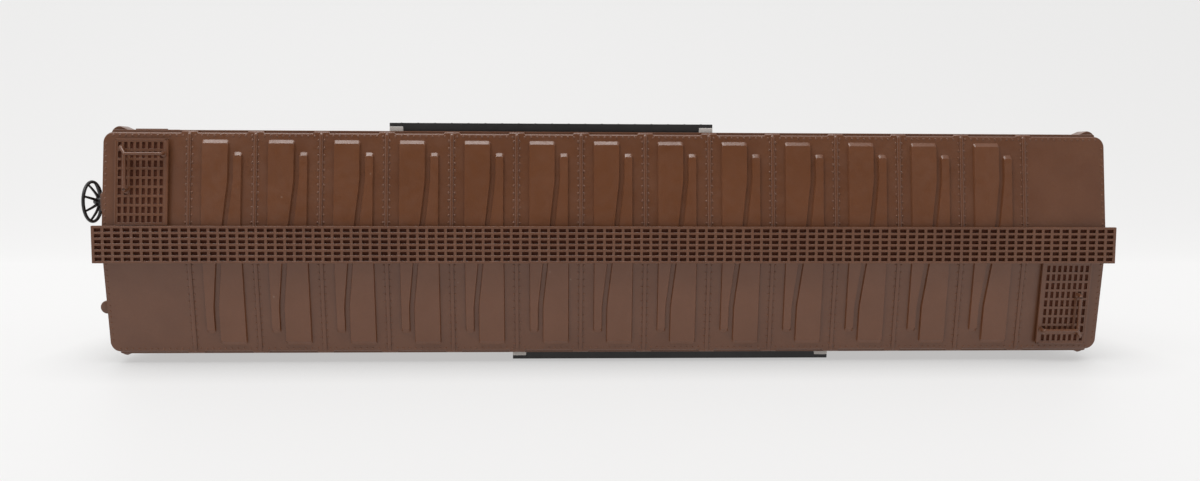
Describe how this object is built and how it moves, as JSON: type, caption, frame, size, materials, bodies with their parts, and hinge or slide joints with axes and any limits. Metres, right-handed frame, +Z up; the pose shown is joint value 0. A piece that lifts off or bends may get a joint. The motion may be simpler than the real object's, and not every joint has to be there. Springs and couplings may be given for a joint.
{
  "type": "model box car",
  "caption": "Scale model of a steel railway box car with sliding doors, roof walk, hand brake wheel, sprung knuckle couplers and swivelling trucks.",
  "frame": {"origin": "centre of the car's outline in plan, at the level the wheel flanges reach down to", "axes": "+X along the car towards its A end, +Y to its left side, +Z up; the hand brake is at -X"},
  "size_m": [0.1574, 0.0352, 0.0529],
  "materials": {
    "moulded_brown": "satin moulded plastic, red-brown",
    "moulded_black": "satin moulded plastic, black",
    "blackened_wheel": "turned metal, chemically blackened, tread left bright",
    "bright_steel": "bright zinc-plated or turned steel",
    "phosphor_bronze": "rolled bronze strip"
  },
  "bodies": {
    "car_body": {"body_shell": "moulded_brown", "running_board": "moulded_brown", "roof_platform_a": "moulded_brown", "roof_platform_b": "moulded_brown", "roof_grab_a": "moulded_brown", "roof_grab_b": "moulded_brown", "upper_door_track_left": "moulded_black", "upper_door_track_right": "moulded_black", "lower_door_track_left": "moulded_black", "lower_door_track_right": "moulded_black", "side_ladder_left": "moulded_brown", "side_ladder_right": "moulded_brown", "end_ladder_a": "moulded_brown", "end_ladder_b": "moulded_brown", "sill_step_left_a": "moulded_brown", "sill_step_left_b": "moulded_brown", "sill_step_right_a": "moulded_brown", "sill_step_right_b": "moulded_brown", "brake_housing": "moulded_brown", "brake_rod": "moulded_brown", "brake_step": "moulded_brown", "retainer_valve": "moulded_brown", "underframe": "moulded_black", "weight_plate": "bright_steel", "brake_cylinder": "moulded_black", "air_reservoir": "moulded_black", "control_valve": "moulded_black", "brake_rigging": "moulded_black", "coupler_cover_a": "moulded_black", "coupler_cover_b": "moulded_black", "coupler_screw_a": "bright_steel", "coupler_screw_b": "bright_steel", "kingpin_screw_a": "bright_steel", "kingpin_screw_b": "bright_steel"},
    "door_left": {"door_left": "moulded_brown"},
    "door_right": {"door_right": "moulded_brown"},
    "brake_wheel": {"brake_wheel": "moulded_black"},
    "truck_a": {"truck_frame_a": "moulded_black"},
    "wheelset_a1": {"axle_a1": "bright_steel", "wheel_a1_left": "blackened_wheel", "wheel_a1_right": "blackened_wheel"},
    "wheelset_a2": {"axle_a2": "bright_steel", "wheel_a2_left": "blackened_wheel", "wheel_a2_right": "blackened_wheel"},
    "coupler_a": {"coupler_a": "moulded_black", "trip_pin_a": "bright_steel", "centring_spring_a": "phosphor_bronze"},
    "knuckle_a": {"knuckle_a": "moulded_black"},
    "truck_b": {"truck_frame_b": "moulded_black"},
    "wheelset_b1": {"axle_b1": "bright_steel", "wheel_b1_left": "blackened_wheel", "wheel_b1_right": "blackened_wheel"},
    "wheelset_b2": {"axle_b2": "bright_steel", "wheel_b2_left": "blackened_wheel", "wheel_b2_right": "blackened_wheel"},
    "coupler_b": {"coupler_b": "moulded_black", "trip_pin_b": "bright_steel", "centring_spring_b": "phosphor_bronze"},
    "knuckle_b": {"knuckle_b": "moulded_black"}
  },
  "joints": [
    {"name": "door_left_slide", "type": "slide", "parent": "car_body", "child": "door_left", "axis": [-1, 0, 0], "range_m": [0, 0.0195]},
    {"name": "door_right_slide", "type": "slide", "parent": "car_body", "child": "door_right", "axis": [1, 0, 0], "range_m": [0, 0.0195]},
    {"name": "brake_wheel_spin", "type": "hinge", "parent": "car_body", "child": "brake_wheel", "pos_m": [-0.0765, 0.0057, 0.0443], "axis": [1, 0, 0], "continuous": true},
    {"name": "truck_a_swivel", "type": "hinge", "parent": "car_body", "child": "truck_a", "pos_m": [0.05365, 0, 0.0069], "axis": [0, 0, 1], "range_deg": [-10, 10]},
    {"name": "truck_b_swivel", "type": "hinge", "parent": "car_body", "child": "truck_b", "pos_m": [-0.05365, 0, 0.0069], "axis": [0, 0, 1], "range_deg": [-10, 10]},
    {"name": "wheelset_a1_spin", "type": "hinge", "parent": "truck_a", "child": "wheelset_a1", "pos_m": [0.06325, 0, 0.0054], "axis": [0, 1, 0], "continuous": true},
    {"name": "wheelset_a2_spin", "type": "hinge", "parent": "truck_a", "child": "wheelset_a2", "pos_m": [0.04405, 0, 0.0054], "axis": [0, 1, 0], "continuous": true},
    {"name": "wheelset_b1_spin", "type": "hinge", "parent": "truck_b", "child": "wheelset_b1", "pos_m": [-0.06325, 0, 0.0054], "axis": [0, 1, 0], "continuous": true},
    {"name": "wheelset_b2_spin", "type": "hinge", "parent": "truck_b", "child": "wheelset_b2", "pos_m": [-0.04405, 0, 0.0054], "axis": [0, 1, 0], "continuous": true},
    {"name": "coupler_a_swing", "type": "hinge", "parent": "car_body", "child": "coupler_a", "pos_m": [0.067, 0, 0.01045], "axis": [0, 0, 1], "range_deg": [-10, 10], "stiffness_Nm_per_rad": 0.00004},
    {"name": "coupler_b_swing", "type": "hinge", "parent": "car_body", "child": "coupler_b", "pos_m": [-0.067, 0, 0.01045], "axis": [0, 0, 1], "range_deg": [-10, 10], "stiffness_Nm_per_rad": 0.00004},
    {"name": "knuckle_a_hinge", "type": "hinge", "parent": "coupler_a", "child": "knuckle_a", "pos_m": [0.076, 0.0021, 0.01045], "axis": [0, 0, 1], "range_deg": [0, 25], "stiffness_Nm_per_rad": 0.000004, "springref_deg": -11.46},
    {"name": "knuckle_b_hinge", "type": "hinge", "parent": "coupler_b", "child": "knuckle_b", "pos_m": [-0.076, -0.0021, 0.01045], "axis": [0, 0, 1], "range_deg": [0, 25], "stiffness_Nm_per_rad": 0.000004, "springref_deg": -11.46}
  ]
}
